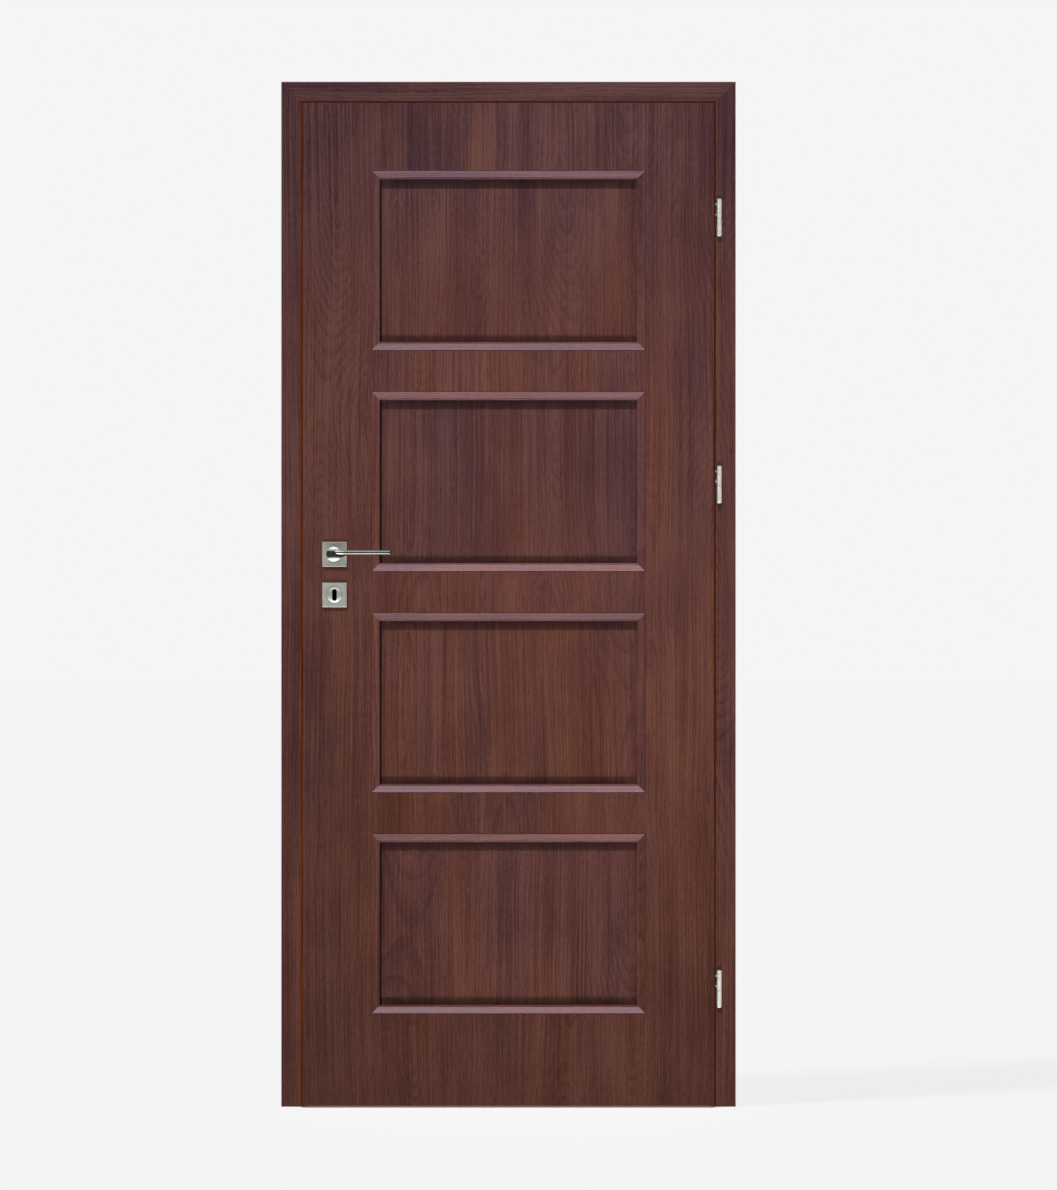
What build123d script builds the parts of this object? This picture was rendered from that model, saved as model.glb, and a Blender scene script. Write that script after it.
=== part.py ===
from build123d import *
import math
import os

# Interior door with its frame: a rebated leaf hung in a mitred block frame.
# Millimetres. X to the right, Y into the wall, Z up. Origin: floor, middle of
# the frame, front face of the frame.

# Doorway and frame
CLEAR_WIDTH = 800.0
CLEAR_HEIGHT = 2015.0
STOP_DEPTH = 10.0
JAMB_FACE = 50.0
JAMB_DEPTH = 100.0
FRAME_ARRIS = 2.0
DOWEL_DIAMETER = 10.0
DOWEL_LENGTH = 40.0
DOWEL_EDGE = 25.0

# Gaps around the leaf
EDGE_GAP = 4.0
FACE_GAP = 1.0
STOP_GAP = 4.0
FLOOR_GAP = 4.0
MOVING_GAP = 0.3
RUNNING_GAP = 0.05

# Seal in the stop
SEAL_GROOVE_WIDTH = 3.0
SEAL_GROOVE_DEPTH = 7.0
SEAL_BULB_WIDTH = 8.0
SEAL_ROUND = 1.5

# Leaf
LEAF_THICKNESS = 40.0
LIP_WIDTH = 13.0
LIP_THICKNESS = 15.0
SKIN = 3.0
LIPPING = 4.0
LIPPING_ROUND = 2.5
STILE_FACE = 143.0
TOP_FACE = 141.5
RAIL_FACE = 84.5
BOTTOM_FACE = 187.0
PANEL_COUNT = 4
PANEL_THICKNESS = 10.0
PANEL_PLAY = 1.5

# Mouldings
MOULDING_WIDTH = 16.0
MOULDING_LAP = 6.0
MOULDING_EDGE = 1.5
MOULDING_RISE = 6.0
MOULDING_CREST = 3.0
MOULDING_ROUND = 1.2

# Hinges
HINGE_HEIGHT = 75.0
BARREL_DIAMETER = 11.0
BARREL_GAP = 1.0
BARREL_CHAMFER = 1.0
LEAF_KNUCKLE = 40.0
COLLAR_THICKNESS = 0.8
COLLAR_INSET = 0.5
PIN_DIAMETER = 6.0
PIN_END = 5.0
BUSH_WALL = 1.0
STUD_DIAMETER = 5.0
STUD_LENGTH = 38.0
STUD_ROOT = 1.0
STUD_TOP_DROP = 10.5
STUD_PITCH = 20.5
FRAME_STUD_RISE = 8.0
FRAME_STUD_PITCH = 18.0
HINGE_INSET = 235.0
HINGE_STEP = 540.0

# Lock
BACKSET = 55.0
HANDLE_HEIGHT = 1118.0
KEY_DROP = 82.0
FACEPLATE_WIDTH = 18.0
FACEPLATE_OVERHANG = 32.5
FACEPLATE_THICKNESS = 3.0
FACEPLATE_SCREW_INSET = 12.0
CASE_THICKNESS = 15.0
CASE_DEPTH = 82.0
CASE_ABOVE = 52.0
CASE_BELOW = 118.0
CASE_WALL = 1.5
CASE_PLAY = 0.5
FOLLOWER_RADIUS = 10.0
HUB_RADIUS = 8.0
ARM_LENGTH = 19.0
ARM_WIDTH = 5.0
LATCH_RISE = 24.0
LATCH_HEIGHT = 28.0
LATCH_THICKNESS = 9.0
LATCH_THROW = 11.0
LATCH_NOSE = 2.0
LATCH_HEAD = 18.0
TAIL_BOTTOM = 12.0
TAIL_HEIGHT = 12.0
TAIL_THICKNESS = 5.0
TAIL_LEAD = 3.6
TAIL_SLACK = 6.0
TAIL_HOOK = 5.0
TAIL_NOTCH = 8.5
SPRING_RISE = 31.0
SPRING_RADIUS = 3.5
SPRING_WIRE = 0.45
SPRING_TURNS = 7
SPRING_GUIDE_RADIUS = 2.2
SPRING_GUIDE_LENGTH = 8.0
SPRING_SEAT_PLAY = 0.05
LUG_SETBACK = 8.0
LUG_THICKNESS = 3.0
LUG_HEIGHT = 10.0
BOLT_RISE = 29.0
BOLT_HEIGHT = 30.0
BOLT_THICKNESS = 9.0
BOLT_THROW = 14.0
BOLT_HEAD = 24.0
BOLT_TAIL_REACH = 18.0
BOLT_TAIL_THICKNESS = 4.0
BOLT_TAIL_BELOW = 15.0
BOLT_TAIL_ABOVE = 9.0
STUMP_RADIUS = 2.5
STUMP_SETBACK = 16.0
KEY_NOTCH_START = 3.0
KEY_NOTCH_WIDTH = 8.0
KEY_NOTCH_DEPTH = 6.0

# Strike plate
STRIKE_WIDTH = 20.0
STRIKE_THICKNESS = 2.0
STRIKE_MARGIN = 34.0
STRIKE_SCREW_INSET = 11.0
STRIKE_PLAY = 1.5
STRIKE_POCKET = 16.0

# Countersunk screws
SCREW_RADIUS = 2.0
SCREW_HEAD_RADIUS = 4.0
SCREW_HEAD_HEIGHT = 2.0
SCREW_LENGTH = 25.0
SCREW_RECESS_LENGTH = 4.4
SCREW_RECESS_WIDTH = 1.0
SCREW_RECESS_DEPTH = 1.4

# Lever, roses and spindle
ROSE_SIZE = 50.0
ROSE_THICKNESS = 9.0
ROSE_WALL = 1.5
ROSE_ROUND = 1.5
ROSE_CORNER = 1.0
BASE_THICKNESS = 6.0
ROSE_BOLT_OFFSET = 19.0
ROSE_BOLT_RADIUS = 2.0
ROSE_BOLT_END = 2.0
SPINDLE_HOLE_RADIUS = 11.0
KEYHOLE_WIDTH = 9.5
KEYHOLE_HEIGHT = 24.0
KEYHOLE_MARGIN = 1.5
BOSS_RADIUS = 15.5
BOSS_HEIGHT = 3.0
BOSS_EDGE = 1.0
BOSS_SPIGOT_RADIUS = 13.5
SPINDLE_SIDE = 8.0
SPINDLE_REACH = 20.0
SLEEVE_LENGTH = 6.5
NECK_FOOT_RADIUS = 14.0
NECK_RADIUS = 10.5
NECK_FLARE = 9.0
LEVER_STANDOFF = 26.0
LEVER_THICKNESS = 13.0
LEVER_DISC_RADIUS = 15.0
LEVER_REACH = 115.0
LEVER_TOP = 8.0
LEVER_HEIGHT = 9.5
LEVER_TAPER_REACH = 27.0
LEVER_TAPER_ROUND = 14.0
LEVER_TOP_ROUND = 4.0
LEVER_TIP_ROUND = 1.5
LEVER_START_ROUND = 4.5
LEVER_BAR_ROUND = 4.3
LEVER_BACK_ROUND = 2.0
LEVER_CROWN = 3.0
LEVER_RIM_ROUND = 1.0
GRUB_RADIUS = 2.5
GRUB_RISE = 16.0
GRUB_LENGTH = 6.0

# Derived places of the frame and the leaf
CLEAR_HALF = CLEAR_WIDTH / 2
REBATE_HALF = CLEAR_HALF + STOP_DEPTH
FRAME_HALF = REBATE_HALF + JAMB_FACE
REBATE_TOP = CLEAR_HEIGHT + STOP_DEPTH
FRAME_TOP = REBATE_TOP + JAMB_FACE
BODY_HALF = REBATE_HALF - EDGE_GAP
LEAF_HALF = BODY_HALF + LIP_WIDTH
BODY_TOP = REBATE_TOP - EDGE_GAP
LEAF_TOP = BODY_TOP + LIP_WIDTH
LEAF_BOTTOM = FLOOR_GAP
LIP_BACK = -FACE_GAP
LEAF_FRONT = LIP_BACK - LIP_THICKNESS
LEAF_BACK = LEAF_FRONT + LEAF_THICKNESS
LEAF_MIDDLE = (LEAF_FRONT + LEAF_BACK) / 2
CORE_FRONT = LEAF_FRONT + SKIN
CORE_BACK = LEAF_BACK - SKIN
CORE_HALF = LEAF_HALF - LIPPING
CORE_TOP = LEAF_TOP - LIPPING
STOP_FACE = LEAF_BACK + STOP_GAP

# Derived places of the panels
MOULDING_HALF = LEAF_HALF - STILE_FACE
MOULDING_ZONE = LEAF_TOP - TOP_FACE - LEAF_BOTTOM - BOTTOM_FACE
MOULDING_TALL = (MOULDING_ZONE - (PANEL_COUNT - 1) * RAIL_FACE) / PANEL_COUNT
OPENING_HALF = MOULDING_HALF - MOULDING_LAP
PANEL_FRONT = LEAF_MIDDLE - PANEL_THICKNESS / 2
PANEL_BACK = LEAF_MIDDLE + PANEL_THICKNESS / 2

# Derived places of the hinges
BARREL_RADIUS = BARREL_DIAMETER / 2
PIN_RADIUS = PIN_DIAMETER / 2
BUSH_RADIUS = PIN_RADIUS + RUNNING_GAP + BUSH_WALL
HINGE_X = LEAF_HALF + BARREL_GAP + BARREL_RADIUS
HINGE_Y = (LEAF_FRONT + LIP_BACK) / 2
FRAME_KNUCKLE = HINGE_HEIGHT - LEAF_KNUCKLE - COLLAR_THICKNESS
HINGE_TOP_Z = LEAF_TOP - HINGE_INSET
HINGE_BOTTOM_Z = LEAF_BOTTOM + HINGE_INSET
HINGES = {
    "top": HINGE_TOP_Z,
    "middle": HINGE_TOP_Z - HINGE_STEP,
    "bottom": HINGE_BOTTOM_Z,
}

# Derived places of the lock and the lever
PLATE_X = -BODY_HALF
LOCK_FRONT_X = PLATE_X + FACEPLATE_THICKNESS
SPINDLE_X = PLATE_X + BACKSET
LOCK_Y = (LIP_BACK + LEAF_BACK) / 2
CASE_FRONT_Y = LOCK_Y - CASE_THICKNESS / 2
CASE_BACK_Y = LOCK_Y + CASE_THICKNESS / 2
CASE_REAR_X = LOCK_FRONT_X + CASE_DEPTH
CASE_TOP = HANDLE_HEIGHT + CASE_ABOVE
CASE_BOTTOM = HANDLE_HEIGHT - CASE_BELOW
FACEPLATE_HEIGHT = CASE_TOP - CASE_BOTTOM + 2 * FACEPLATE_OVERHANG
PLATE_MIDDLE_Z = (CASE_TOP + CASE_BOTTOM) / 2
KEY_Z = HANDLE_HEIGHT - KEY_DROP
LATCH_Z = HANDLE_HEIGHT + LATCH_RISE
BOLT_Z = KEY_Z + BOLT_RISE
LATCH_BACK_X = PLATE_X + LATCH_HEAD
LUG_X = SPINDLE_X - LUG_SETBACK
SPRING_Z = HANDLE_HEIGHT + SPRING_RISE
STUMP_X = SPINDLE_X - STUMP_SETBACK
STRIKE_TOP = LATCH_Z + LATCH_HEIGHT / 2 + STRIKE_MARGIN
STRIKE_BOTTOM = BOLT_Z - BOLT_HEIGHT / 2 - STRIKE_MARGIN
ROSE_FRONT = LEAF_FRONT - ROSE_THICKNESS
ROSE_BACK = LEAF_BACK + ROSE_THICKNESS


# Shared shape helpers
def slab(x0, x1, y0, y1, z0, z1):
    middle = ((x0 + x1) / 2, (y0 + y1) / 2, (z0 + z1) / 2)
    return Pos(*middle) * Box(x1 - x0, y1 - y0, z1 - z0)


def along_x(sketch, x0, x1):
    return extrude(Plane.YZ.offset(x0) * sketch, x1 - x0, dir=(1, 0, 0))


def along_y(sketch, y0, y1):
    return extrude(Plane.XZ.offset(-y0) * sketch, y1 - y0, dir=(0, 1, 0))


def along_z(sketch, z0, z1):
    return extrude(Plane.XY.offset(z0) * sketch, z1 - z0, dir=(0, 0, 1))


def outline_of(points):
    return Polygon(*points, align=None)


def rod_x(x0, x1, y, z, radius):
    return Pos((x0 + x1) / 2, y, z) * Rot(0, 90, 0) * Cylinder(radius, x1 - x0)


def rod_y(x, y0, y1, z, radius):
    return Pos(x, (y0 + y1) / 2, z) * Rot(90, 0, 0) * Cylinder(radius, y1 - y0)


def rod_z(x, y, z0, z1, radius):
    return Pos(x, y, (z0 + z1) / 2) * Cylinder(radius, z1 - z0)


def slot_y(x, y0, y1, z, width, height):
    outline = SlotOverall(height, width, rotation=90)
    return Pos(x, 0, z) * along_y(outline, y0, y1)


def rounded(sketch, corners, radius):
    picked = []
    for corner in corners:
        picked.append(sketch.vertices().sort_by_distance(corner)[0])
    return fillet(picked, radius)


def flip(shape):
    return mirror(shape, about=Plane.YZ)


def to_back(shape):
    return mirror(shape, about=Plane.XZ.offset(-LEAF_MIDDLE))


def screw_x(x, y, z, way):
    points = [
        (0, 0),
        (SCREW_HEAD_RADIUS, 0),
        (SCREW_RADIUS, SCREW_HEAD_HEIGHT),
        (SCREW_RADIUS, SCREW_LENGTH - SCREW_RADIUS),
        (0, SCREW_LENGTH),
    ]
    body = revolve(Plane.XZ * outline_of(points), Axis.Z)
    return Pos(x, y, z) * Rot(0, 90 * way, 0) * body


def cross_recess(x, y, z, way):
    x0, x1 = sorted((x, x + way * SCREW_RECESS_DEPTH))
    long = SCREW_RECESS_LENGTH / 2
    thin = SCREW_RECESS_WIDTH / 2
    level = slab(x0, x1, y - long, y + long, z - thin, z + thin)
    return level + slab(x0, x1, y - thin, y + thin, z - long, z + long)


# Frame: jambs, head and dowels
def mitre_wedge():
    inner = CLEAR_HALF - JAMB_FACE
    low = CLEAR_HEIGHT - JAMB_FACE
    outer = FRAME_HALF + JAMB_FACE
    high = FRAME_TOP + JAMB_FACE
    points = [(inner, low), (outer, high), (inner, high)]
    return along_y(outline_of(points), -JAMB_DEPTH, 2 * JAMB_DEPTH)


def groove_places(clear, rebate):
    middle = (clear + rebate) / 2
    return middle - SEAL_GROOVE_WIDTH / 2, middle + SEAL_GROOVE_WIDTH / 2


def jamb_blank():
    near, far = groove_places(CLEAR_HALF, REBATE_HALF)
    floor_y = STOP_FACE + SEAL_GROOVE_DEPTH
    points = [
        (REBATE_HALF, 0),
        (FRAME_HALF, 0),
        (FRAME_HALF, JAMB_DEPTH),
        (CLEAR_HALF, JAMB_DEPTH),
        (CLEAR_HALF, STOP_FACE),
        (near, STOP_FACE),
        (near, floor_y),
        (far, floor_y),
        (far, STOP_FACE),
        (REBATE_HALF, STOP_FACE),
    ]
    profile = rounded(outline_of(points), points[0:4], FRAME_ARRIS)
    return along_z(profile, 0, FRAME_TOP) - mitre_wedge()


def head_blank():
    near, far = groove_places(CLEAR_HEIGHT, REBATE_TOP)
    floor_y = STOP_FACE + SEAL_GROOVE_DEPTH
    points = [
        (0, REBATE_TOP),
        (0, FRAME_TOP),
        (JAMB_DEPTH, FRAME_TOP),
        (JAMB_DEPTH, CLEAR_HEIGHT),
        (STOP_FACE, CLEAR_HEIGHT),
        (STOP_FACE, near),
        (floor_y, near),
        (floor_y, far),
        (STOP_FACE, far),
        (STOP_FACE, REBATE_TOP),
    ]
    profile = rounded(outline_of(points), points[0:4], FRAME_ARRIS)
    half = along_x(profile, 0, FRAME_HALF) & mitre_wedge_above()
    return half + flip(half)


def mitre_wedge_above():
    low = CLEAR_HEIGHT - JAMB_FACE
    inner = CLEAR_HALF - JAMB_FACE
    outer = FRAME_HALF + JAMB_FACE
    high = FRAME_TOP + JAMB_FACE
    points = [(0, low), (inner, low), (outer, high), (0, high)]
    return along_y(outline_of(points), -JAMB_DEPTH, 2 * JAMB_DEPTH)


def corner_dowels():
    middle_x = (REBATE_HALF + FRAME_HALF) / 2
    middle_z = (REBATE_TOP + FRAME_TOP) / 2
    dowel = Rot(0, -45, 0) * Cylinder(DOWEL_DIAMETER / 2, DOWEL_LENGTH)
    dowels = []
    for y in (DOWEL_EDGE, JAMB_DEPTH - DOWEL_EDGE):
        placed = Pos(middle_x, y, middle_z) * dowel
        dowels.append(placed)
        dowels.append(flip(placed))
    return dowels


def seal_profile(clear, rebate):
    near, far = groove_places(clear, rebate)
    middle = (clear + rebate) / 2
    tip = LEAF_BACK + MOVING_GAP
    low = middle - SEAL_BULB_WIDTH / 2
    high = middle + SEAL_BULB_WIDTH / 2
    floor_y = STOP_FACE + SEAL_GROOVE_DEPTH
    return [
        (low, tip),
        (high, tip),
        (high, STOP_FACE),
        (far, STOP_FACE),
        (far, floor_y),
        (near, floor_y),
        (near, STOP_FACE),
        (low, STOP_FACE),
    ]


def seals():
    side = seal_profile(CLEAR_HALF, REBATE_HALF)
    upright = rounded(outline_of(side), side[0:2], SEAL_ROUND)
    upright = along_z(upright, 0, FRAME_TOP) - mitre_wedge()
    top = [(y, z) for z, y in seal_profile(CLEAR_HEIGHT, REBATE_TOP)]
    over = rounded(outline_of(top), top[0:2], SEAL_ROUND)
    half = along_x(over, 0, FRAME_HALF) & mitre_wedge_above()
    return [upright, flip(upright), half + flip(half)]


# Strike plate in the lock-side jamb
def strike_window(middle, height, thickness, x0, x1):
    tall = height / 2 + STRIKE_PLAY
    wide = thickness / 2 + STRIKE_PLAY
    return slab(x0, x1, LOCK_Y - wide, LOCK_Y + wide, middle - tall, middle + tall)


def strike_screws():
    screws = []
    for z in (STRIKE_TOP - STRIKE_SCREW_INSET, STRIKE_BOTTOM + STRIKE_SCREW_INSET):
        screws.append(screw_x(-REBATE_HALF, LOCK_Y, z, -1))
    return screws


def strike_blank():
    half = STRIKE_WIDTH / 2
    x0 = -REBATE_HALF - STRIKE_THICKNESS
    return slab(x0, -REBATE_HALF, LOCK_Y - half, LOCK_Y + half, STRIKE_BOTTOM, STRIKE_TOP)


def strike_openings(depth):
    x0 = -REBATE_HALF - depth
    latch = strike_window(LATCH_Z, LATCH_HEIGHT, LATCH_THICKNESS, x0, -REBATE_HALF)
    bolt = strike_window(BOLT_Z, BOLT_HEIGHT, BOLT_THICKNESS, x0, -REBATE_HALF)
    return [latch, bolt]


def strike_plate():
    return strike_blank() - strike_openings(STRIKE_THICKNESS) - strike_screws()


# Hinges
def hinge_bottom(z):
    return z - HINGE_HEIGHT / 2


def frame_studs(z):
    studs = []
    y0 = HINGE_Y + PIN_RADIUS + STUD_ROOT
    for step in range(2):
        stud_z = hinge_bottom(z) + FRAME_STUD_RISE + step * FRAME_STUD_PITCH
        studs.append(rod_y(HINGE_X, y0, y0 + STUD_LENGTH, stud_z, STUD_DIAMETER / 2))
    return studs


def leaf_studs(z):
    studs = []
    x1 = HINGE_X - BUSH_RADIUS - STUD_ROOT / 2
    for step in range(2):
        stud_z = hinge_bottom(z) + HINGE_HEIGHT - STUD_TOP_DROP - step * STUD_PITCH
        studs.append(rod_x(x1 - STUD_LENGTH, x1, HINGE_Y, stud_z, STUD_DIAMETER / 2))
    return studs


def hinge_pin(z):
    top = hinge_bottom(z) + HINGE_HEIGHT - PIN_END
    return rod_z(HINGE_X, HINGE_Y, hinge_bottom(z) + PIN_END, top, PIN_RADIUS)


def frame_knuckle(z):
    z0 = hinge_bottom(z)
    barrel = rod_z(HINGE_X, HINGE_Y, z0, z0 + FRAME_KNUCKLE, BARREL_RADIUS)
    barrel = chamfer(barrel.edges().group_by(Axis.Z)[0], BARREL_CHAMFER)
    return barrel - hinge_pin(z) - frame_studs(z)


def hinge_bush(z):
    z0 = hinge_bottom(z) + FRAME_KNUCKLE
    top = hinge_bottom(z) + HINGE_HEIGHT - PIN_END
    collar = rod_z(HINGE_X, HINGE_Y, z0, z0 + COLLAR_THICKNESS, BARREL_RADIUS - COLLAR_INSET)
    sleeve = rod_z(HINGE_X, HINGE_Y, z0, top, BUSH_RADIUS)
    return collar + sleeve - rod_z(HINGE_X, HINGE_Y, z0, top, PIN_RADIUS + RUNNING_GAP)


def leaf_knuckle(z):
    z0 = hinge_bottom(z) + FRAME_KNUCKLE + COLLAR_THICKNESS
    z1 = hinge_bottom(z) + HINGE_HEIGHT
    barrel = rod_z(HINGE_X, HINGE_Y, z0, z1, BARREL_RADIUS)
    barrel = chamfer(barrel.edges().group_by(Axis.Z)[-1], BARREL_CHAMFER)
    return barrel - rod_z(HINGE_X, HINGE_Y, z0, z1 - PIN_END, BUSH_RADIUS) - leaf_studs(z)


# Leaf: core, face sheets and lippings
def moulding_bottom(index):
    return LEAF_BOTTOM + BOTTOM_FACE + index * (MOULDING_TALL + RAIL_FACE)


def opening_span(index):
    z0 = moulding_bottom(index) + MOULDING_LAP
    return z0, z0 + MOULDING_TALL - 2 * MOULDING_LAP


def stile_blank():
    points = [
        (OPENING_HALF, CORE_FRONT),
        (CORE_HALF, CORE_FRONT),
        (CORE_HALF, LIP_BACK),
        (BODY_HALF, LIP_BACK),
        (BODY_HALF, CORE_BACK),
        (OPENING_HALF, CORE_BACK),
    ]
    over = slab(0, LEAF_HALF, LIP_BACK, LEAF_BACK, BODY_TOP, LEAF_TOP)
    return along_z(outline_of(points), LEAF_BOTTOM, CORE_TOP) - over


def top_rail():
    z0 = opening_span(PANEL_COUNT - 1)[1]
    points = [
        (CORE_FRONT, z0),
        (CORE_FRONT, CORE_TOP),
        (LIP_BACK, CORE_TOP),
        (LIP_BACK, BODY_TOP),
        (CORE_BACK, BODY_TOP),
        (CORE_BACK, z0),
    ]
    return along_x(outline_of(points), -OPENING_HALF, OPENING_HALF)


def plain_rail(z0, z1):
    return slab(-OPENING_HALF, OPENING_HALF, CORE_FRONT, CORE_BACK, z0, z1)


def skin_openings(y0, y1):
    holes = []
    for index in range(PANEL_COUNT):
        z0, z1 = opening_span(index)
        holes.append(slab(-OPENING_HALF, OPENING_HALF, y0, y1, z0, z1))
    return holes


def front_skin():
    sheet = slab(-CORE_HALF, CORE_HALF, LEAF_FRONT, CORE_FRONT, LEAF_BOTTOM, CORE_TOP)
    return sheet - skin_openings(LEAF_FRONT, CORE_FRONT) - lock_holes()


def back_skin():
    sheet = slab(-BODY_HALF, BODY_HALF, CORE_BACK, LEAF_BACK, LEAF_BOTTOM, BODY_TOP)
    return sheet - skin_openings(CORE_BACK, LEAF_BACK) - lock_holes()


def lipping_wedge():
    inner = LEAF_HALF - JAMB_FACE
    low = LEAF_TOP - JAMB_FACE
    outer = LEAF_HALF + JAMB_FACE
    high = LEAF_TOP + JAMB_FACE
    points = [(inner, low), (outer, high), (inner, high)]
    return along_y(outline_of(points), LEAF_FRONT, LIP_BACK)


def side_lipping():
    points = [
        (LEAF_HALF, LEAF_FRONT),
        (LEAF_HALF, LIP_BACK),
        (CORE_HALF, LIP_BACK),
        (CORE_HALF, LEAF_FRONT),
    ]
    profile = rounded(outline_of(points), points[0:1], LIPPING_ROUND)
    return along_z(profile, LEAF_BOTTOM, LEAF_TOP) - lipping_wedge()


def top_lipping():
    points = [
        (LEAF_FRONT, LEAF_TOP),
        (LIP_BACK, LEAF_TOP),
        (LIP_BACK, CORE_TOP),
        (LEAF_FRONT, CORE_TOP),
    ]
    profile = rounded(outline_of(points), points[0:1], LIPPING_ROUND)
    strip = along_x(profile, -LEAF_HALF, LEAF_HALF)
    inner = LEAF_HALF - JAMB_FACE
    low = LEAF_TOP - JAMB_FACE
    outer = LEAF_HALF + JAMB_FACE
    high = LEAF_TOP + JAMB_FACE
    points = [(inner, low), (outer, low), (outer, high)]
    side = along_y(outline_of(points), LEAF_FRONT, LIP_BACK)
    return strip - side - flip(side)


# Panels and mouldings
def panel(index):
    z0, z1 = opening_span(index)
    half = OPENING_HALF - PANEL_PLAY
    return slab(-half, half, PANEL_FRONT, PANEL_BACK, z0 + PANEL_PLAY, z1 - PANEL_PLAY)


def moulding_profile():
    crest = MOULDING_WIDTH - MOULDING_CREST
    points = [
        (LEAF_FRONT, 0),
        (LEAF_FRONT - MOULDING_EDGE, 0),
        (LEAF_FRONT - MOULDING_RISE, crest),
        (LEAF_FRONT - MOULDING_RISE, MOULDING_WIDTH),
        (PANEL_FRONT, MOULDING_WIDTH),
        (PANEL_FRONT, MOULDING_LAP),
        (LEAF_FRONT, MOULDING_LAP),
    ]
    return rounded(outline_of(points), points[2:4], MOULDING_ROUND)


def moulding_strip(length):
    far = length / 2
    half = along_x(moulding_profile(), 0, far)
    high = 2 * MOULDING_WIDTH
    beyond = [(far, 0), (far - high, high), (far + high, high), (far + high, 0)]
    half = half - along_y(outline_of(beyond), LEAF_FRONT - LEAF_THICKNESS, LEAF_BACK)
    return half + flip(half)


def mouldings(index):
    middle_z = moulding_bottom(index) + MOULDING_TALL / 2
    across = Pos(0, 0, -MOULDING_TALL / 2) * moulding_strip(2 * MOULDING_HALF)
    upright = Pos(0, 0, -MOULDING_HALF) * moulding_strip(MOULDING_TALL)
    strips = []
    for turn in (0, 180):
        strips.append(Pos(0, 0, middle_z) * Rot(0, turn, 0) * across)
        strips.append(Pos(0, 0, middle_z) * Rot(0, turn + 90, 0) * upright)
    return strips


# Lock
def lock_holes():
    y0 = LEAF_FRONT
    y1 = LEAF_BACK
    wide = KEYHOLE_WIDTH + 2 * KEYHOLE_MARGIN
    tall = KEYHOLE_HEIGHT + 2 * KEYHOLE_MARGIN
    holes = [
        rod_y(SPINDLE_X, y0, y1, HANDLE_HEIGHT, SPINDLE_HOLE_RADIUS),
        slot_y(SPINDLE_X, y0, y1, KEY_Z, wide, tall),
    ]
    return holes + rose_bolt_rods(y0, y1, ROSE_BOLT_RADIUS + MOVING_GAP)


def rose_bolt_rods(y0, y1, radius):
    rods = []
    for z in (HANDLE_HEIGHT, KEY_Z):
        for x in (SPINDLE_X - ROSE_BOLT_OFFSET, SPINDLE_X + ROSE_BOLT_OFFSET):
            rods.append(rod_y(x, y0, y1, z, radius))
    return rods


def lock_mortice():
    return slab(
        LOCK_FRONT_X,
        CASE_REAR_X + CASE_PLAY,
        CASE_FRONT_Y - CASE_PLAY,
        CASE_BACK_Y + CASE_PLAY,
        CASE_BOTTOM - CASE_PLAY,
        CASE_TOP + CASE_PLAY,
    )


def faceplate_blank():
    outline = SlotOverall(FACEPLATE_HEIGHT, FACEPLATE_WIDTH, rotation=90)
    return Pos(0, LOCK_Y, PLATE_MIDDLE_Z) * along_x(outline, PLATE_X, LOCK_FRONT_X)


def faceplate_screws():
    reach = FACEPLATE_HEIGHT / 2 - FACEPLATE_SCREW_INSET
    screws = []
    for z in (PLATE_MIDDLE_Z - reach, PLATE_MIDDLE_Z + reach):
        screws.append(screw_x(PLATE_X, LOCK_Y, z, 1))
    return screws


def bolt_window(middle, height, thickness):
    tall = height / 2 + MOVING_GAP
    wide = thickness / 2 + MOVING_GAP
    return slab(PLATE_X, LOCK_FRONT_X, LOCK_Y - wide, LOCK_Y + wide, middle - tall, middle + tall)


def faceplate():
    latch = bolt_window(LATCH_Z, LATCH_HEIGHT, LATCH_THICKNESS)
    bolt = bolt_window(BOLT_Z, BOLT_HEIGHT, BOLT_THICKNESS)
    return faceplate_blank() - latch - bolt - faceplate_screws()


def lock_case():
    wall = CASE_WALL
    inner_back = CASE_BACK_Y - wall
    shell = slab(LOCK_FRONT_X, CASE_REAR_X, CASE_FRONT_Y, inner_back, CASE_BOTTOM, CASE_TOP)
    hollow = slab(
        LOCK_FRONT_X,
        CASE_REAR_X - wall,
        CASE_FRONT_Y + wall,
        inner_back,
        CASE_BOTTOM + wall,
        CASE_TOP - wall,
    )
    lug_low = SPRING_Z - LUG_HEIGHT / 2
    lug = slab(LUG_X, LUG_X + LUG_THICKNESS, CASE_FRONT_Y, inner_back, lug_low, lug_low + LUG_HEIGHT)
    stump = rod_y(STUMP_X, CASE_FRONT_Y, CASE_BACK_Y, BOLT_Z, STUMP_RADIUS)
    return shell - hollow + lug + stump - case_holes()


def case_holes():
    y0 = CASE_FRONT_Y
    y1 = CASE_BACK_Y
    hub = rod_y(SPINDLE_X, y0, y1, HANDLE_HEIGHT, HUB_RADIUS + RUNNING_GAP)
    wide = KEYHOLE_WIDTH + 2 * KEYHOLE_MARGIN
    tall = KEYHOLE_HEIGHT + 2 * KEYHOLE_MARGIN
    key = slot_y(SPINDLE_X, y0, y1, KEY_Z, wide, tall)
    return [hub, key] + rose_bolt_rods(y0, y1, ROSE_BOLT_RADIUS + MOVING_GAP)


def lock_cover():
    y0 = CASE_BACK_Y - CASE_WALL
    sheet = slab(LOCK_FRONT_X, CASE_REAR_X, y0, CASE_BACK_Y, CASE_BOTTOM, CASE_TOP)
    stump = rod_y(STUMP_X, y0, CASE_BACK_Y, BOLT_Z, STUMP_RADIUS)
    return sheet - stump - case_holes()


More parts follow.
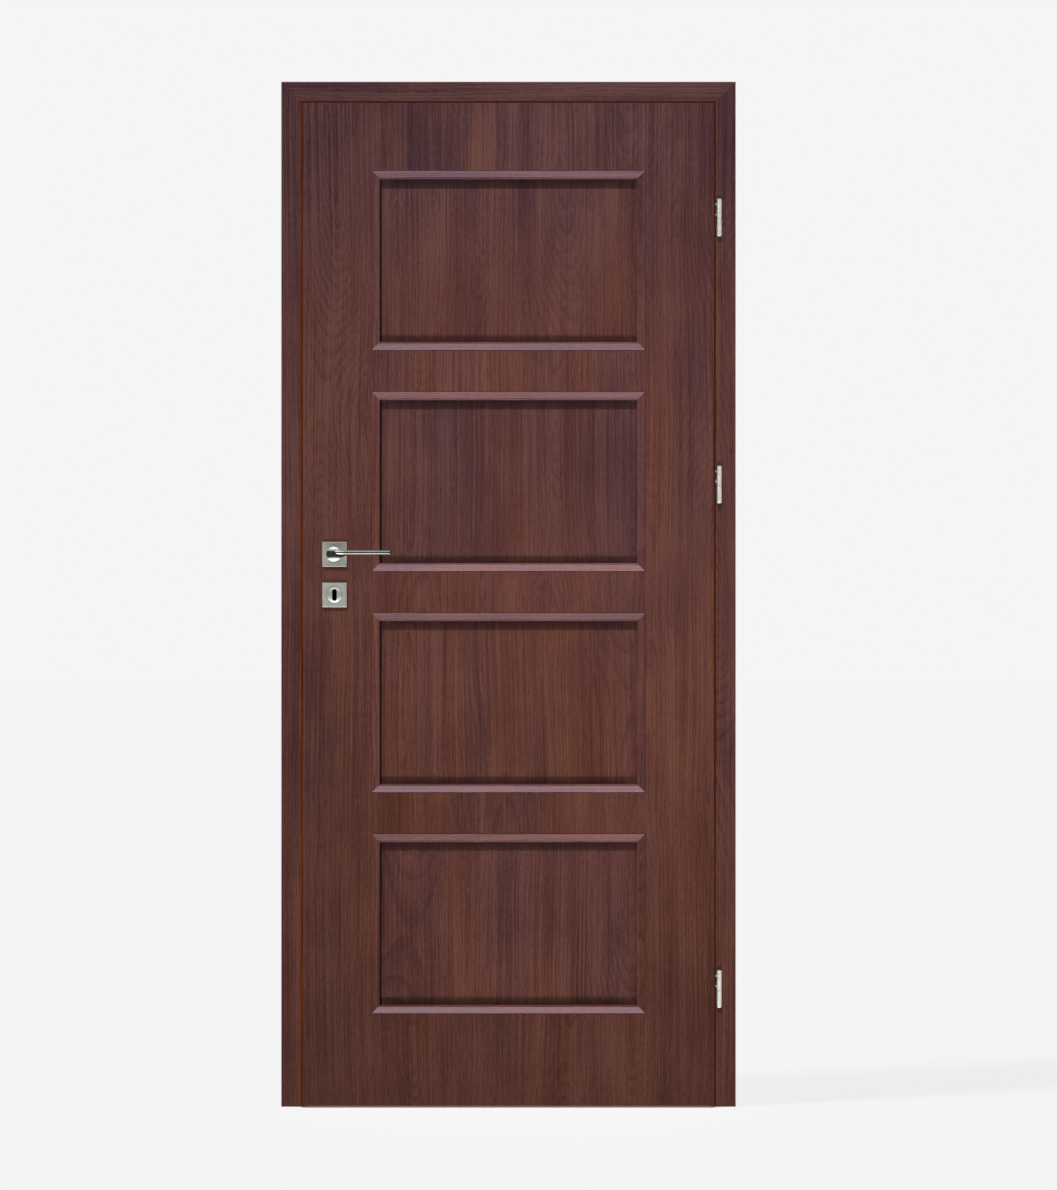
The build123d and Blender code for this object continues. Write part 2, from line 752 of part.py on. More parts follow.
def follower():
    inner_front = CASE_FRONT_Y + CASE_WALL + MOVING_GAP
    inner_back = CASE_BACK_Y - CASE_WALL - MOVING_GAP
    hub = rod_y(SPINDLE_X, CASE_FRONT_Y, CASE_BACK_Y, HANDLE_HEIGHT, HUB_RADIUS)
    disc = rod_y(SPINDLE_X, inner_front, inner_back, HANDLE_HEIGHT, FOLLOWER_RADIUS)
    arm_half = ARM_WIDTH / 2
    arm = slab(
        SPINDLE_X - arm_half,
        SPINDLE_X + arm_half,
        LOCK_Y - TAIL_THICKNESS / 2,
        LOCK_Y + TAIL_THICKNESS / 2,
        HANDLE_HEIGHT,
        HANDLE_HEIGHT + ARM_LENGTH,
    )
    return hub + disc + arm - spindle()


def latch_bolt():
    half = LATCH_THICKNESS / 2
    tip = PLATE_X - LATCH_THROW
    nose = [
        (tip, LOCK_Y - half),
        (LATCH_BACK_X, LOCK_Y - half),
        (LATCH_BACK_X, LOCK_Y + half),
        (PLATE_X, LOCK_Y + half),
        (tip, LOCK_Y - half + LATCH_NOSE),
    ]
    head_z0 = LATCH_Z - LATCH_HEIGHT / 2
    head = along_z(outline_of(nose), head_z0, head_z0 + LATCH_HEIGHT)
    tail_y0 = LOCK_Y - TAIL_THICKNESS / 2
    tail_y1 = LOCK_Y + TAIL_THICKNESS / 2
    tail_z0 = HANDLE_HEIGHT + TAIL_BOTTOM
    tail_end = SPINDLE_X + TAIL_LEAD + TAIL_HOOK
    tail = slab(LATCH_BACK_X, tail_end, tail_y0, tail_y1, tail_z0, tail_z0 + TAIL_HEIGHT)
    notch_x0 = SPINDLE_X - TAIL_SLACK
    notch = slab(notch_x0, SPINDLE_X + TAIL_LEAD, tail_y0, tail_y1, tail_z0, tail_z0 + TAIL_NOTCH)
    guide_end = LATCH_BACK_X + SPRING_GUIDE_LENGTH
    guide = rod_x(LATCH_BACK_X, guide_end, LOCK_Y, SPRING_Z, SPRING_GUIDE_RADIUS)
    return head + tail + guide - notch


def latch_spring():
    play = SPRING_WIRE + SPRING_SEAT_PLAY
    length = LUG_X - LATCH_BACK_X - 2 * play
    path = Helix(length / SPRING_TURNS, length, SPRING_RADIUS)
    wire = Plane(path @ 0, z_dir=path % 0) * Circle(SPRING_WIRE)
    coil = sweep(wire, path, is_frenet=True)
    return Pos(LATCH_BACK_X + play, LOCK_Y, SPRING_Z) * Rot(0, 90, 0) * coil


def deadbolt():
    half = BOLT_THICKNESS / 2
    head_back = PLATE_X + BOLT_HEAD
    head_z0 = BOLT_Z - BOLT_HEIGHT / 2
    head = slab(PLATE_X, head_back, LOCK_Y - half, LOCK_Y + half, head_z0, head_z0 + BOLT_HEIGHT)
    tail_y0 = LOCK_Y - BOLT_TAIL_THICKNESS / 2
    tail_y1 = LOCK_Y + BOLT_TAIL_THICKNESS / 2
    tail_z0 = BOLT_Z - BOLT_TAIL_BELOW
    tail_end = SPINDLE_X + BOLT_TAIL_REACH
    tail = slab(head_back, tail_end, tail_y0, tail_y1, tail_z0, BOLT_Z + BOLT_TAIL_ABOVE)
    slot_half = STUMP_RADIUS + MOVING_GAP
    slot = rod_y(STUMP_X, tail_y0, tail_y1, BOLT_Z, slot_half)
    slot = slot + rod_y(STUMP_X + BOLT_THROW, tail_y0, tail_y1, BOLT_Z, slot_half)
    track_z0 = BOLT_Z - slot_half
    track_z1 = BOLT_Z + slot_half
    slot = slot + slab(STUMP_X, STUMP_X + BOLT_THROW, tail_y0, tail_y1, track_z0, track_z1)
    notch_x0 = SPINDLE_X + KEY_NOTCH_START
    notch_x1 = notch_x0 + KEY_NOTCH_WIDTH
    notch = slab(notch_x0, notch_x1, tail_y0, tail_y1, tail_z0, tail_z0 + KEY_NOTCH_DEPTH)
    return head + tail - slot - notch


# Roses, key roses and their fixings
def rose_blank(z):
    half = ROSE_SIZE / 2
    block = slab(SPINDLE_X - half, SPINDLE_X + half, ROSE_FRONT, LEAF_FRONT, z - half, z + half)
    block = fillet(block.edges().filter_by(Axis.Y), ROSE_CORNER)
    return fillet(block.faces().sort_by(Axis.Y)[0].edges(), ROSE_ROUND)


def rose_hollow(z):
    half = ROSE_SIZE / 2 - ROSE_WALL
    y0 = ROSE_FRONT + ROSE_WALL
    return slab(SPINDLE_X - half, SPINDLE_X + half, y0, LEAF_FRONT, z - half, z + half)


def lever_rose():
    hole = rod_y(SPINDLE_X, ROSE_FRONT, LEAF_FRONT, HANDLE_HEIGHT, HUB_RADIUS + FACE_GAP)
    return rose_blank(HANDLE_HEIGHT) - rose_hollow(HANDLE_HEIGHT) - hole


def key_rose():
    hole = rod_y(SPINDLE_X, ROSE_FRONT, LEAF_FRONT, KEY_Z, BOSS_SPIGOT_RADIUS)
    return rose_blank(KEY_Z) - rose_hollow(KEY_Z) - hole


def keyhole():
    y0 = ROSE_FRONT - ROSE_THICKNESS
    return slot_y(SPINDLE_X, y0, LEAF_FRONT, KEY_Z, KEYHOLE_WIDTH, KEYHOLE_HEIGHT)


def key_boss():
    rim = Polyline((BOSS_RADIUS, BOSS_EDGE), (BOSS_RADIUS, 0), (0, 0), (0, BOSS_HEIGHT))
    crown = ThreePointArc((0, BOSS_HEIGHT), crown_point(), (BOSS_RADIUS, BOSS_EDGE))
    section = make_face(rim + crown)
    cap = Pos(SPINDLE_X, ROSE_FRONT, KEY_Z) * Rot(90, 0, 0) * revolve(Plane.XZ * section, Axis.Z)
    spigot_end = LEAF_FRONT - BASE_THICKNESS
    spigot = rod_y(SPINDLE_X, ROSE_FRONT, spigot_end, KEY_Z, BOSS_SPIGOT_RADIUS)
    return cap + spigot - keyhole()


def crown_point():
    rise = BOSS_HEIGHT - BOSS_EDGE
    sphere = (BOSS_RADIUS**2 + rise**2) / (2 * rise)
    middle = BOSS_RADIUS / 2
    return middle, BOSS_HEIGHT - sphere + math.sqrt(sphere**2 - middle**2)


def base_blank(z):
    half = ROSE_SIZE / 2 - ROSE_WALL
    y0 = LEAF_FRONT - BASE_THICKNESS
    return slab(SPINDLE_X - half, SPINDLE_X + half, y0, LEAF_FRONT, z - half, z + half)


def front_bases():
    y0 = LEAF_FRONT - BASE_THICKNESS
    bore = rod_y(SPINDLE_X, y0, LEAF_FRONT, HANDLE_HEIGHT, HUB_RADIUS + RUNNING_GAP)
    return [base_blank(HANDLE_HEIGHT) - bore, base_blank(KEY_Z) - keyhole()]


def rose_bolts():
    y0 = LEAF_FRONT - BASE_THICKNESS + ROSE_BOLT_END
    y1 = LEAF_BACK + BASE_THICKNESS
    bolts = []
    shanks = rose_bolt_rods(y0, y1, ROSE_BOLT_RADIUS)
    heads = rose_bolt_rods(y1 - ROSE_BOLT_END, y1, SCREW_HEAD_RADIUS)
    for shank, head in zip(shanks, heads):
        bolts.append(shank + head)
    return bolts


def rose_bases():
    bases = front_bases()
    for base in front_bases():
        bases.append(to_back(base))
    return [base - rose_bolts() for base in bases]


# Levers, spindle and grub screws
def spindle():
    half = SPINDLE_SIDE / 2
    y0 = ROSE_FRONT - SPINDLE_REACH
    y1 = ROSE_BACK + SPINDLE_REACH
    x0 = SPINDLE_X - half
    return slab(x0, SPINDLE_X + half, y0, y1, HANDLE_HEIGHT - half, HANDLE_HEIGHT + half)


def lever_outline():
    bar_low = LEVER_TOP - LEVER_HEIGHT
    away = math.hypot(LEVER_TAPER_REACH, bar_low)
    swing = math.acos(LEVER_DISC_RADIUS / away)
    start = math.atan2(bar_low, LEVER_TAPER_REACH) - swing
    touch = (LEVER_DISC_RADIUS * math.cos(start), LEVER_DISC_RADIUS * math.sin(start))
    tips = [(LEVER_REACH, bar_low), (LEVER_REACH, LEVER_TOP)]
    bar = outline_of([(0, bar_low)] + tips + [(0, LEVER_TOP)])
    taper = outline_of([(0, 0), touch, (LEVER_TAPER_REACH, bar_low), (0, bar_low)])
    outline = Circle(LEVER_DISC_RADIUS) + bar + taper
    outline = rounded(outline, [(LEVER_TAPER_REACH, bar_low)], LEVER_TAPER_ROUND)
    top_x = math.sqrt(LEVER_DISC_RADIUS**2 - LEVER_TOP**2)
    outline = rounded(outline, [(top_x, LEVER_TOP)], LEVER_TOP_ROUND)
    return rounded(outline, tips, LEVER_TIP_ROUND)


def lever_disc():
    reach = LEVER_TAPER_REACH + LEVER_TAPER_ROUND
    keep = outline_of([(-reach, -reach), (reach, -reach), (reach, reach), (-reach, reach)])
    disc = along_y(lever_outline() & keep, -LEVER_THICKNESS, 0)
    ball = (LEVER_DISC_RADIUS**2 + LEVER_CROWN**2) / (2 * LEVER_CROWN)
    disc = disc & Pos(0, ball - LEVER_THICKNESS, 0) * Sphere(ball)
    rim = disc.edges().filter_by(GeomType.CIRCLE).sort_by(Axis.Y)[0]
    return fillet(rim, LEVER_RIM_ROUND)


def lever_bar():
    bar_low = LEVER_TOP - LEVER_HEIGHT
    corners = [(0, bar_low), (LEVER_REACH, bar_low), (LEVER_REACH, LEVER_TOP), (0, LEVER_TOP)]
    outline = rounded(outline_of(corners), corners[1:3], LEVER_TIP_ROUND)
    outline = rounded(outline, [corners[0], corners[3]], LEVER_START_ROUND)
    bar = along_y(outline, -LEVER_THICKNESS, 0)
    bar = fillet(bar.faces().sort_by(Axis.Y)[0].edges(), LEVER_BAR_ROUND)
    return fillet(bar.faces().sort_by(Axis.Y)[-1].edges(), LEVER_BACK_ROUND)


def lever_blade():
    blade = lever_disc() + lever_bar()
    return Pos(SPINDLE_X, ROSE_FRONT - LEVER_STANDOFF, HANDLE_HEIGHT) * blade


def lever_neck():
    end = LEVER_STANDOFF + LEVER_THICKNESS / 2
    points = [
        (0, -SLEEVE_LENGTH),
        (HUB_RADIUS, -SLEEVE_LENGTH),
        (HUB_RADIUS, MOVING_GAP),
        (NECK_FOOT_RADIUS, MOVING_GAP),
        (NECK_RADIUS, NECK_FLARE),
        (NECK_RADIUS, end),
        (0, end),
    ]
    neck = revolve(Plane.XZ * outline_of(points), Axis.Z)
    return Pos(SPINDLE_X, ROSE_FRONT, HANDLE_HEIGHT) * Rot(90, 0, 0) * neck


def grub_screw():
    y = ROSE_FRONT - GRUB_RISE
    z1 = HANDLE_HEIGHT - SPINDLE_SIDE / 2
    return rod_z(SPINDLE_X, y, z1 - GRUB_LENGTH, z1, GRUB_RADIUS)


def grub_hole():
    y = ROSE_FRONT - GRUB_RISE
    z1 = HANDLE_HEIGHT - SPINDLE_SIDE / 2
    return rod_z(SPINDLE_X, y, z1 - NECK_FOOT_RADIUS, z1, GRUB_RADIUS)


def lever():
    return lever_blade() + lever_neck() - spindle() - grub_hole()


# Assembly of the drilled and cut pieces
def lock_jamb():
    cuts = [strike_blank()] + strike_openings(STRIKE_POCKET) + strike_screws()
    return flip(jamb_blank()) - cuts - corner_dowels()


def hinge_jamb():
    studs = []
    for z in HINGES.values():
        studs = studs + frame_studs(z)
    return jamb_blank() - studs - corner_dowels()


def lock_stile():
    cuts = [lock_mortice(), faceplate_blank()] + lock_holes() + faceplate_screws()
    return flip(stile_blank()) - cuts


def hinge_stile():
    studs = []
    for z in HINGES.values():
        studs = studs + leaf_studs(z)
    return stile_blank() - studs


def hinge_lipping():
    studs = []
    for z in HINGES.values():
        studs = studs + leaf_studs(z)
    return side_lipping() - studs


def group(shapes):
    return Compound(children=[solid for shape in shapes for solid in shape.solids()])


def recessed(screws, x, way):
    made = []
    for screw in screws:
        middle = screw.bounding_box().center()
        made.append(screw - cross_recess(x, middle.Y, middle.Z, way))
    return group(made)


def hinge_group(make):
    shapes = []
    for z in HINGES.values():
        made = make(z)
        shapes = shapes + (made if isinstance(made, list) else [made])
    return group(shapes)


def rails():
    low = LEAF_BOTTOM
    made = {}
    for index in range(PANEL_COUNT):
        z0, z1 = opening_span(index)
        made["rail_bottom" if index == 0 else f"rail_{PANEL_COUNT - index}"] = plain_rail(low, z0)
        low = z1
    made["rail_top"] = top_rail()
    return made


def nodes():
    made = {
        "jamb_lock": lock_jamb(),
        "jamb_hinge": hinge_jamb(),
        "head": head_blank() - corner_dowels(),
        "corner_dowels": group(corner_dowels()),
        "frame_seals": group(seals()),
        "strike_plate": strike_plate(),
        "strike_screws": recessed(strike_screws(), -REBATE_HALF, -1),
        "hinge_frame_studs": hinge_group(frame_studs),
        "hinge_pins": hinge_group(hinge_pin),
        "hinge_leaf_studs": hinge_group(leaf_studs),
        "hinge_bushes": hinge_group(hinge_bush),
        "stile_lock": lock_stile(),
        "stile_hinge": hinge_stile(),
        "skin_front": front_skin(),
        "skin_back": back_skin(),
        "lippings": group([flip(side_lipping()), hinge_lipping(), top_lipping()]),
        "lock_case": lock_case(),
        "lock_cover": lock_cover(),
        "lock_faceplate": faceplate(),
        "faceplate_screws": recessed(faceplate_screws(), PLATE_X, 1),
        "follower": follower(),
        "latch_bolt": latch_bolt(),
        "latch_spring": latch_spring(),
        "deadbolt": deadbolt(),
        "rose_front": lever_rose(),
        "rose_back": to_back(lever_rose()),
        "key_rose_front": key_rose(),
        "key_rose_back": to_back(key_rose()),
        "key_boss_front": key_boss(),
        "key_boss_back": to_back(key_boss()),
        "rose_bases": group(rose_bases()),
        "rose_bolts": group(rose_bolts()),
        "lever_front": lever(),
        "lever_back": to_back(lever()),
        "spindle": spindle(),
        "grub_screws": group([grub_screw(), to_back(grub_screw())]),
    }
    for name, z in HINGES.items():
        made[f"hinge_frame_{name}"] = frame_knuckle(z)
        made[f"hinge_leaf_{name}"] = leaf_knuckle(z)
    for index in range(PANEL_COUNT):
        place = PANEL_COUNT - index
        strips = mouldings(index)
        made[f"panel_{place}"] = panel(index)
        made[f"moulding_front_{place}"] = group(strips)
        made[f"moulding_back_{place}"] = group([to_back(strip) for strip in strips])
    made.update(rails())
    return made


os.makedirs("parts", exist_ok=True)
for name, shape in nodes().items():
    export_step(shape, f"parts/{name}.step")
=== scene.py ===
import bpy
import math
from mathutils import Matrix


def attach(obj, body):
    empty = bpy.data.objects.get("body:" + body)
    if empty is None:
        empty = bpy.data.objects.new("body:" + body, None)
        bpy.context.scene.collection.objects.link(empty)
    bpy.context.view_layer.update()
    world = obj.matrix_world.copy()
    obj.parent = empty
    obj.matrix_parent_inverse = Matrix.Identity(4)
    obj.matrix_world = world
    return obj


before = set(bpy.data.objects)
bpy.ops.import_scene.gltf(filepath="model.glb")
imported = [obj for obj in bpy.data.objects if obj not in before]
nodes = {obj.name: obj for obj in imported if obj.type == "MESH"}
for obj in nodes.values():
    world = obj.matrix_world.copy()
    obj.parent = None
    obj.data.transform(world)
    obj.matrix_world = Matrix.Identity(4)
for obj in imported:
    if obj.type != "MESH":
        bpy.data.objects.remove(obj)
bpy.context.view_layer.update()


# Frame: two jambs and a head of moulded fibreboard, wrapped in a reddish-brown
# wood-grain foil and mitred at the top corners. The grain runs along each length,
# and the sawn feet of the jambs show the raw board.
def tone(red, green, blue):
    """A colour as a screen shows it, from 0 to 255, in the numbers that Blender takes."""
    linear = []
    for part in (red, green, blue):
        share = part / 255
        linear.append(share / 12.92 if share <= 0.04045 else ((share + 0.055) / 1.055) ** 2.4)
    return (*linear, 1.0)


def feed(tree, socket, value):
    """Link a socket to another node's output, or set a plain value on it."""
    if isinstance(value, bpy.types.NodeSocket):
        tree.links.new(value, socket)
    else:
        socket.default_value = value


def add(tree, kind, inputs=None, **settings):
    made = tree.nodes.new(kind)
    for name, value in settings.items():
        setattr(made, name, value)
    for name, value in (inputs or {}).items():
        feed(tree, made.inputs[name], value)
    return made


def calc(tree, operation, first, second=0.0, third=0.0):
    made = add(tree, "ShaderNodeMath", {0: first, 1: second, 2: third}, operation=operation)
    return made.outputs[0]


def rescale(tree, value, low, high, start=0.0, end=1.0):
    """Run from start to end while the value goes from low to high."""
    return add(tree, "ShaderNodeMapRange", {0: value, 1: low, 2: high, 3: start, 4: end}).outputs[0]


def noise(tree, vector, scale, detail, roughness):
    inputs = {"Vector": vector, "Scale": scale, "Detail": detail, "Roughness": roughness}
    return add(tree, "ShaderNodeTexNoise", inputs).outputs[0]


def stretched(tree, across, length, wide, long, offset=0.0):
    """Places for a noise with so many waves to the metre across and along the grain."""
    wide_place = calc(tree, "MULTIPLY", across, wide)
    long_place = calc(tree, "MULTIPLY", length, long)
    return add(tree, "ShaderNodeCombineXYZ", {0: wide_place, 1: long_place, 2: offset}).outputs[0]


def ramp(tree, factor, stops):
    made = add(tree, "ShaderNodeValToRGB", {"Fac": factor})
    band = made.color_ramp
    while len(band.elements) < len(stops):
        band.elements.new(0.5)
    for element, (place, colour) in zip(band.elements, stops):
        element.position = place
        element.color = colour
    return made.outputs[0]


def mix(tree, factor, first, second, blend_type="MIX"):
    inputs = {0: factor, 6: first, 7: second}
    return add(tree, "ShaderNodeMix", inputs, data_type="RGBA", blend_type=blend_type).outputs[2]


def new_finish(name):
    material = bpy.data.materials.new(name)
    material.use_nodes = True
    return material, material.node_tree, material.node_tree.nodes["Principled BSDF"]


def places(tree):
    """The place on the door in metres, whole and as x, y and z."""
    place = add(tree, "ShaderNodeTexCoord").outputs["Object"]
    return (place, *add(tree, "ShaderNodeSeparateXYZ", {0: place}).outputs)


def raise_grain(tree, shader, height, strength, depth):
    bump = add(tree, "ShaderNodeBump", {"Strength": strength, "Distance": depth, "Height": height})
    feed(tree, shader.inputs["Normal"], bump.outputs[0])


FOIL_TONES = [(0.2, tone(46, 24, 21)), (0.5, tone(90, 56, 49)), (0.8, tone(130, 88, 75))]
FOIL_WARM = tone(107, 60, 41)
FOIL_COOL = tone(72, 49, 61)
FOIL_TINT = 0.46
FOIL_SHEEN = (0.92, 0.74, 0.96, 1.0)
FOIL_GLOSS = 0.6
FOIL_ROUGH = 0.22
HAIR_ROUGH = 0.14
PORE_DEPTH = -0.8
HAIR_HEIGHT = 0.5
FOIL_RELIEF = (0.2, 0.0003)
EDGE_SHARE = 0.7

# Layers of the print: waves to the metre across and along, seed, detail, roughness.
GRAIN_LAYERS = {
    "sway": (3.0, 1.3, 0.0, 2.0, 0.5),
    "ripple": (40.0, 7.0, 2.0, 2.0, 0.5),
    "heart": (2.4, 1.0, 3.0, 1.0, 0.4),
    "shown": (9.0, 1.6, 4.0, 2.0, 0.5),
    "fibre": (400.0, 1.8, 5.0, 1.0, 0.6),
    "fleck": (230.0, 90.0, 6.0, 2.0, 0.6),
    "streak": (26.0, 0.7, 7.0, 3.0, 0.4),
    "vein": (95.0, 0.6, 8.0, 2.0, 0.6),
    "pores": (800.0, 16.0, 9.0, 2.0, 0.5),
    "zone": (7.0, 0.9, 10.0, 2.0, 0.5),
    "hue": (11.0, 1.2, 11.0, 2.0, 0.5),
    "cloud": (17.0, 6.5, 12.0, 2.0, 0.5),
    "hair": (1500.0, 22.0, 13.0, 3.0, 0.6),
    "broad": (3.2, 1.1, 14.0, 1.0, 0.5),
}
GRAIN_LEVEL = 0.605
GRAIN_BEND = 0.03
STRAIGHT_WEIGHTS = {"zone": 0.4, "fleck": 0.4}
BENT_WEIGHTS = {"fibre": 0.76, "cloud": 0.34, "streak": 0.38}
HAIR_WEIGHT = 0.45
RING_WEIGHT = -0.22
VEIN_WEIGHT = -0.08
PORE_WEIGHT = -0.11
VEIN_WIDTH = 0.035
PORE_RANGE = (0.6, 0.68)


def grain_layer(tree, layer, across, length, offset):
    wide, long, seed, detail, roughness = GRAIN_LAYERS[layer]
    place = stretched(tree, across, length, wide, long, offset + seed)
    return noise(tree, place, 1.0, detail, roughness)


FLITCH_WIDTH = 0.155
FLITCH_SWAY = 0.12
HEART_DEPTH = 0.22
RING_PITCH = 0.0068
RING_RIPPLE = 0.006
RING_EDGE = 3.0
RING_SHOWN = (0.36, 0.66, 0.35, 1.0)
ARCH_WEIGHT = 0.75
ARCH_LEVEL = 0.3


def ring_lines(tree, across, length, offset, sway):
    """Year rings of flat-sawn boards: arches over the heart, fainter lines beside it."""
    ripple = grain_layer(tree, "ripple", across, length, offset)
    heart = grain_layer(tree, "heart", across, length, offset)
    side = calc(tree, "MULTIPLY_ADD", sway, FLITCH_SWAY, across)
    side = calc(tree, "PINGPONG", side, FLITCH_WIDTH / 2)
    side = calc(tree, "MULTIPLY_ADD", ripple, RING_RIPPLE, side)
    deep = calc(tree, "MULTIPLY_ADD", heart, 2 * HEART_DEPTH, -HEART_DEPTH)
    square = calc(tree, "MULTIPLY_ADD", side, side, calc(tree, "MULTIPLY", deep, deep))
    radius = calc(tree, "SQRT", square)
    rings = calc(tree, "FRACT", calc(tree, "DIVIDE", radius, RING_PITCH))
    rings = calc(tree, "POWER", rings, RING_EDGE)
    shown = rescale(tree, grain_layer(tree, "shown", across, length, offset), *RING_SHOWN)
    arched = calc(tree, "ABSOLUTE", calc(tree, "DIVIDE", deep, radius))
    arched = calc(tree, "MULTIPLY_ADD", arched, ARCH_WEIGHT, ARCH_LEVEL)
    return calc(tree, "MULTIPLY", calc(tree, "MULTIPLY", rings, shown), arched)


def foil_grain(tree, across, length, offset):
    """Tone, hair lines and pores of the printed grain, from places in metres."""
    def centred(layer, place):
        return calc(tree, "SUBTRACT", grain_layer(tree, layer, place, length, offset), 0.5)

    sway = grain_layer(tree, "sway", across, length, offset)
    bent = calc(tree, "MULTIPLY_ADD", sway, GRAIN_BEND, across)
    value = GRAIN_LEVEL
    for weights, place in ((BENT_WEIGHTS, bent), (STRAIGHT_WEIGHTS, across)):
        for layer, weight in weights.items():
            value = calc(tree, "MULTIPLY_ADD", centred(layer, place), weight, value)
    rings = ring_lines(tree, across, length, offset, sway)
    vein = calc(tree, "ABSOLUTE", centred("vein", bent))
    vein = rescale(tree, vein, 0.0, VEIN_WIDTH, 1.0, 0.0)
    hair = grain_layer(tree, "hair", bent, length, offset)
    pores = rescale(tree, grain_layer(tree, "pores", bent, length, offset), *PORE_RANGE)
    value = calc(tree, "MULTIPLY_ADD", rings, RING_WEIGHT, value)
    value = calc(tree, "MULTIPLY_ADD", vein, VEIN_WEIGHT, value)
    value = calc(tree, "MULTIPLY_ADD", calc(tree, "SUBTRACT", hair, 0.5), HAIR_WEIGHT, value)
    value = calc(tree, "MULTIPLY_ADD", pores, PORE_WEIGHT, value)
    return value, hair, pores


def grain_way(tree, grain, x, y, z):
    """Places across and along the grain; grain can be a rule for mitred strips."""
    if grain == "upright":
        return calc(tree, "MULTIPLY_ADD", y, EDGE_SHARE, x), z
    if grain == "level":
        return calc(tree, "MULTIPLY_ADD", y, EDGE_SHARE, z), x
    level = grain(tree, x, z)
    turn = calc(tree, "SUBTRACT", z, x)
    across = calc(tree, "MULTIPLY_ADD", y, EDGE_SHARE, x)
    across = calc(tree, "MULTIPLY_ADD", turn, level, across)
    length = calc(tree, "MULTIPLY_ADD", calc(tree, "MULTIPLY", turn, level), -1.0, z)
    return across, length


PAINTED_LIGHT_PLACE = (0.12, 0.0, 1.4)
PAINTED_LIGHT_SHAPE = (1.35, 0.0, 0.74)
PAINTED_LIGHT_REACH = (0.25, 1.3)
CONTRAST_MIDDLE = 0.58
CONTRAST_FAR = 1.75


def from_painted_light(tree, place):
    """How far a place lies from the middle of the painted pool of light."""
    away = add(tree, "ShaderNodeVectorMath", {0: place, 1: PAINTED_LIGHT_PLACE}, operation="SUBTRACT")
    inputs = {0: away.outputs[0], 1: PAINTED_LIGHT_SHAPE}
    shaped = add(tree, "ShaderNodeVectorMath", inputs, operation="MULTIPLY")
    return add(tree, "ShaderNodeVectorMath", {0: shaped.outputs[0]}, operation="LENGTH").outputs[1]


BROAD_WEIGHT = 0.5
BROAD_LEVEL = -0.33
COOL_REFLECTION_CROWN = (1.65, 2.02, 0.0, 0.3)
COOL_REFLECTION_RISE = -0.24
HUE_RANGE = (0.14, 0.86)


def foil_hue(tree, across, length, z, offset, warmth):
    """Zero where the print is a cool brown, one where it is warm; cooler higher up and cooler still
    near the top, a painted cool reflection from above.
    """
    hue = grain_layer(tree, "hue", across, length, offset)
    broad = grain_layer(tree, "broad", across, length, offset)
    broad = calc(tree, "MULTIPLY_ADD", broad, BROAD_WEIGHT, BROAD_LEVEL)
    hue = calc(tree, "ADD", calc(tree, "ADD", hue, broad), warmth)
    hue = calc(tree, "SUBTRACT", hue, rescale(tree, z, *COOL_REFLECTION_CROWN))
    return rescale(tree, calc(tree, "MULTIPLY_ADD", z, COOL_REFLECTION_RISE, hue), *HUE_RANGE)


BOARD_TONES = [(0.3, tone(120, 92, 64)), (0.6, tone(150, 118, 86)), (0.8, tone(176, 146, 110))]
BOARD_SPECKS = 900.0
SAWN_FACING = -0.9


def sawn_ends(tree, colour, place):
    """Bare board on the faces that look down."""
    facing = add(tree, "ShaderNodeNewGeometry").outputs["Normal"]
    up = add(tree, "ShaderNodeSeparateXYZ", {0: facing}).outputs[2]
    board = ramp(tree, noise(tree, place, BOARD_SPECKS, 3.0, 0.7), BOARD_TONES)
    return mix(tree, calc(tree, "LESS_THAN", up, SAWN_FACING), colour, board)


def foil_finish(
    name, grain, offset=0.0, fall=(0.98, 0.39), warmth=0.31, bare_ends=False, touch_up=None
):
    """Printed foil under a painted pool of light, its tone falling towards the edges of the door;
    touch_up adds painted shade or lines.
    """
    material, tree, shader = new_finish(name)
    place, x, y, z = places(tree)
    across, length = grain_way(tree, grain, x, y, z)
    value, hair, pores = foil_grain(tree, across, length, offset)
    away = from_painted_light(tree, place)
    contrast = rescale(tree, away, *PAINTED_LIGHT_REACH, 1.0, CONTRAST_FAR)
    value = calc(tree, "SUBTRACT", value, CONTRAST_MIDDLE)
    value = calc(tree, "MULTIPLY_ADD", value, contrast, CONTRAST_MIDDLE)
    hue = foil_hue(tree, across, length, z, offset, warmth)
    tint = mix(tree, hue, FOIL_COOL, FOIL_WARM)
    colour = mix(tree, FOIL_TINT, ramp(tree, value, FOIL_TONES), tint)
    # Painted pool of light: the tone falls from a bright middle towards the edges of the door.
    colour = mix(tree, 1.0, colour, rescale(tree, away, *PAINTED_LIGHT_REACH, *fall), "MULTIPLY")
    if touch_up:
        colour = touch_up(tree, colour, x, z)
    if bare_ends:
        colour = sawn_ends(tree, colour, place)
    feed(tree, shader.inputs["Base Color"], colour)
    rough = calc(tree, "MULTIPLY_ADD", hair, HAIR_ROUGH, FOIL_ROUGH)
    feed(tree, shader.inputs["Roughness"], rough)
    height = calc(tree, "MULTIPLY", hair, HAIR_HEIGHT)
    height = calc(tree, "MULTIPLY_ADD", pores, PORE_DEPTH, height)
    raise_grain(tree, shader, height, *FOIL_RELIEF)
    shader.inputs["Specular IOR Level"].default_value = FOIL_GLOSS
    shader.inputs["Specular Tint"].default_value = FOIL_SHEEN
    return material


def dress(material, *names):
    for name in names:
        nodes[name].data.materials.clear()
        nodes[name].data.materials.append(material)


jamb_foil = foil_finish("jamb_foil", "upright", fall=(0.95, 0.5), bare_ends=True)
dress(jamb_foil, "jamb_lock", "jamb_hinge")
dress(foil_finish("head_foil", "level", offset=21.0, fall=(0.96, 0.44)), "head")


# Corner dowels: four turned beech pins glued across the mitres, two to a corner.
# They are closed in by the jambs and the head.
BEECH_TONES = [(0.3, tone(172, 132, 88)), (0.7, tone(206, 168, 122))]
BEECH_WIDE, BEECH_LONG = 700.0, 60.0
BEECH_ROUGH = 0.7
BEECH_RELIEF = (0.3, 0.0003)


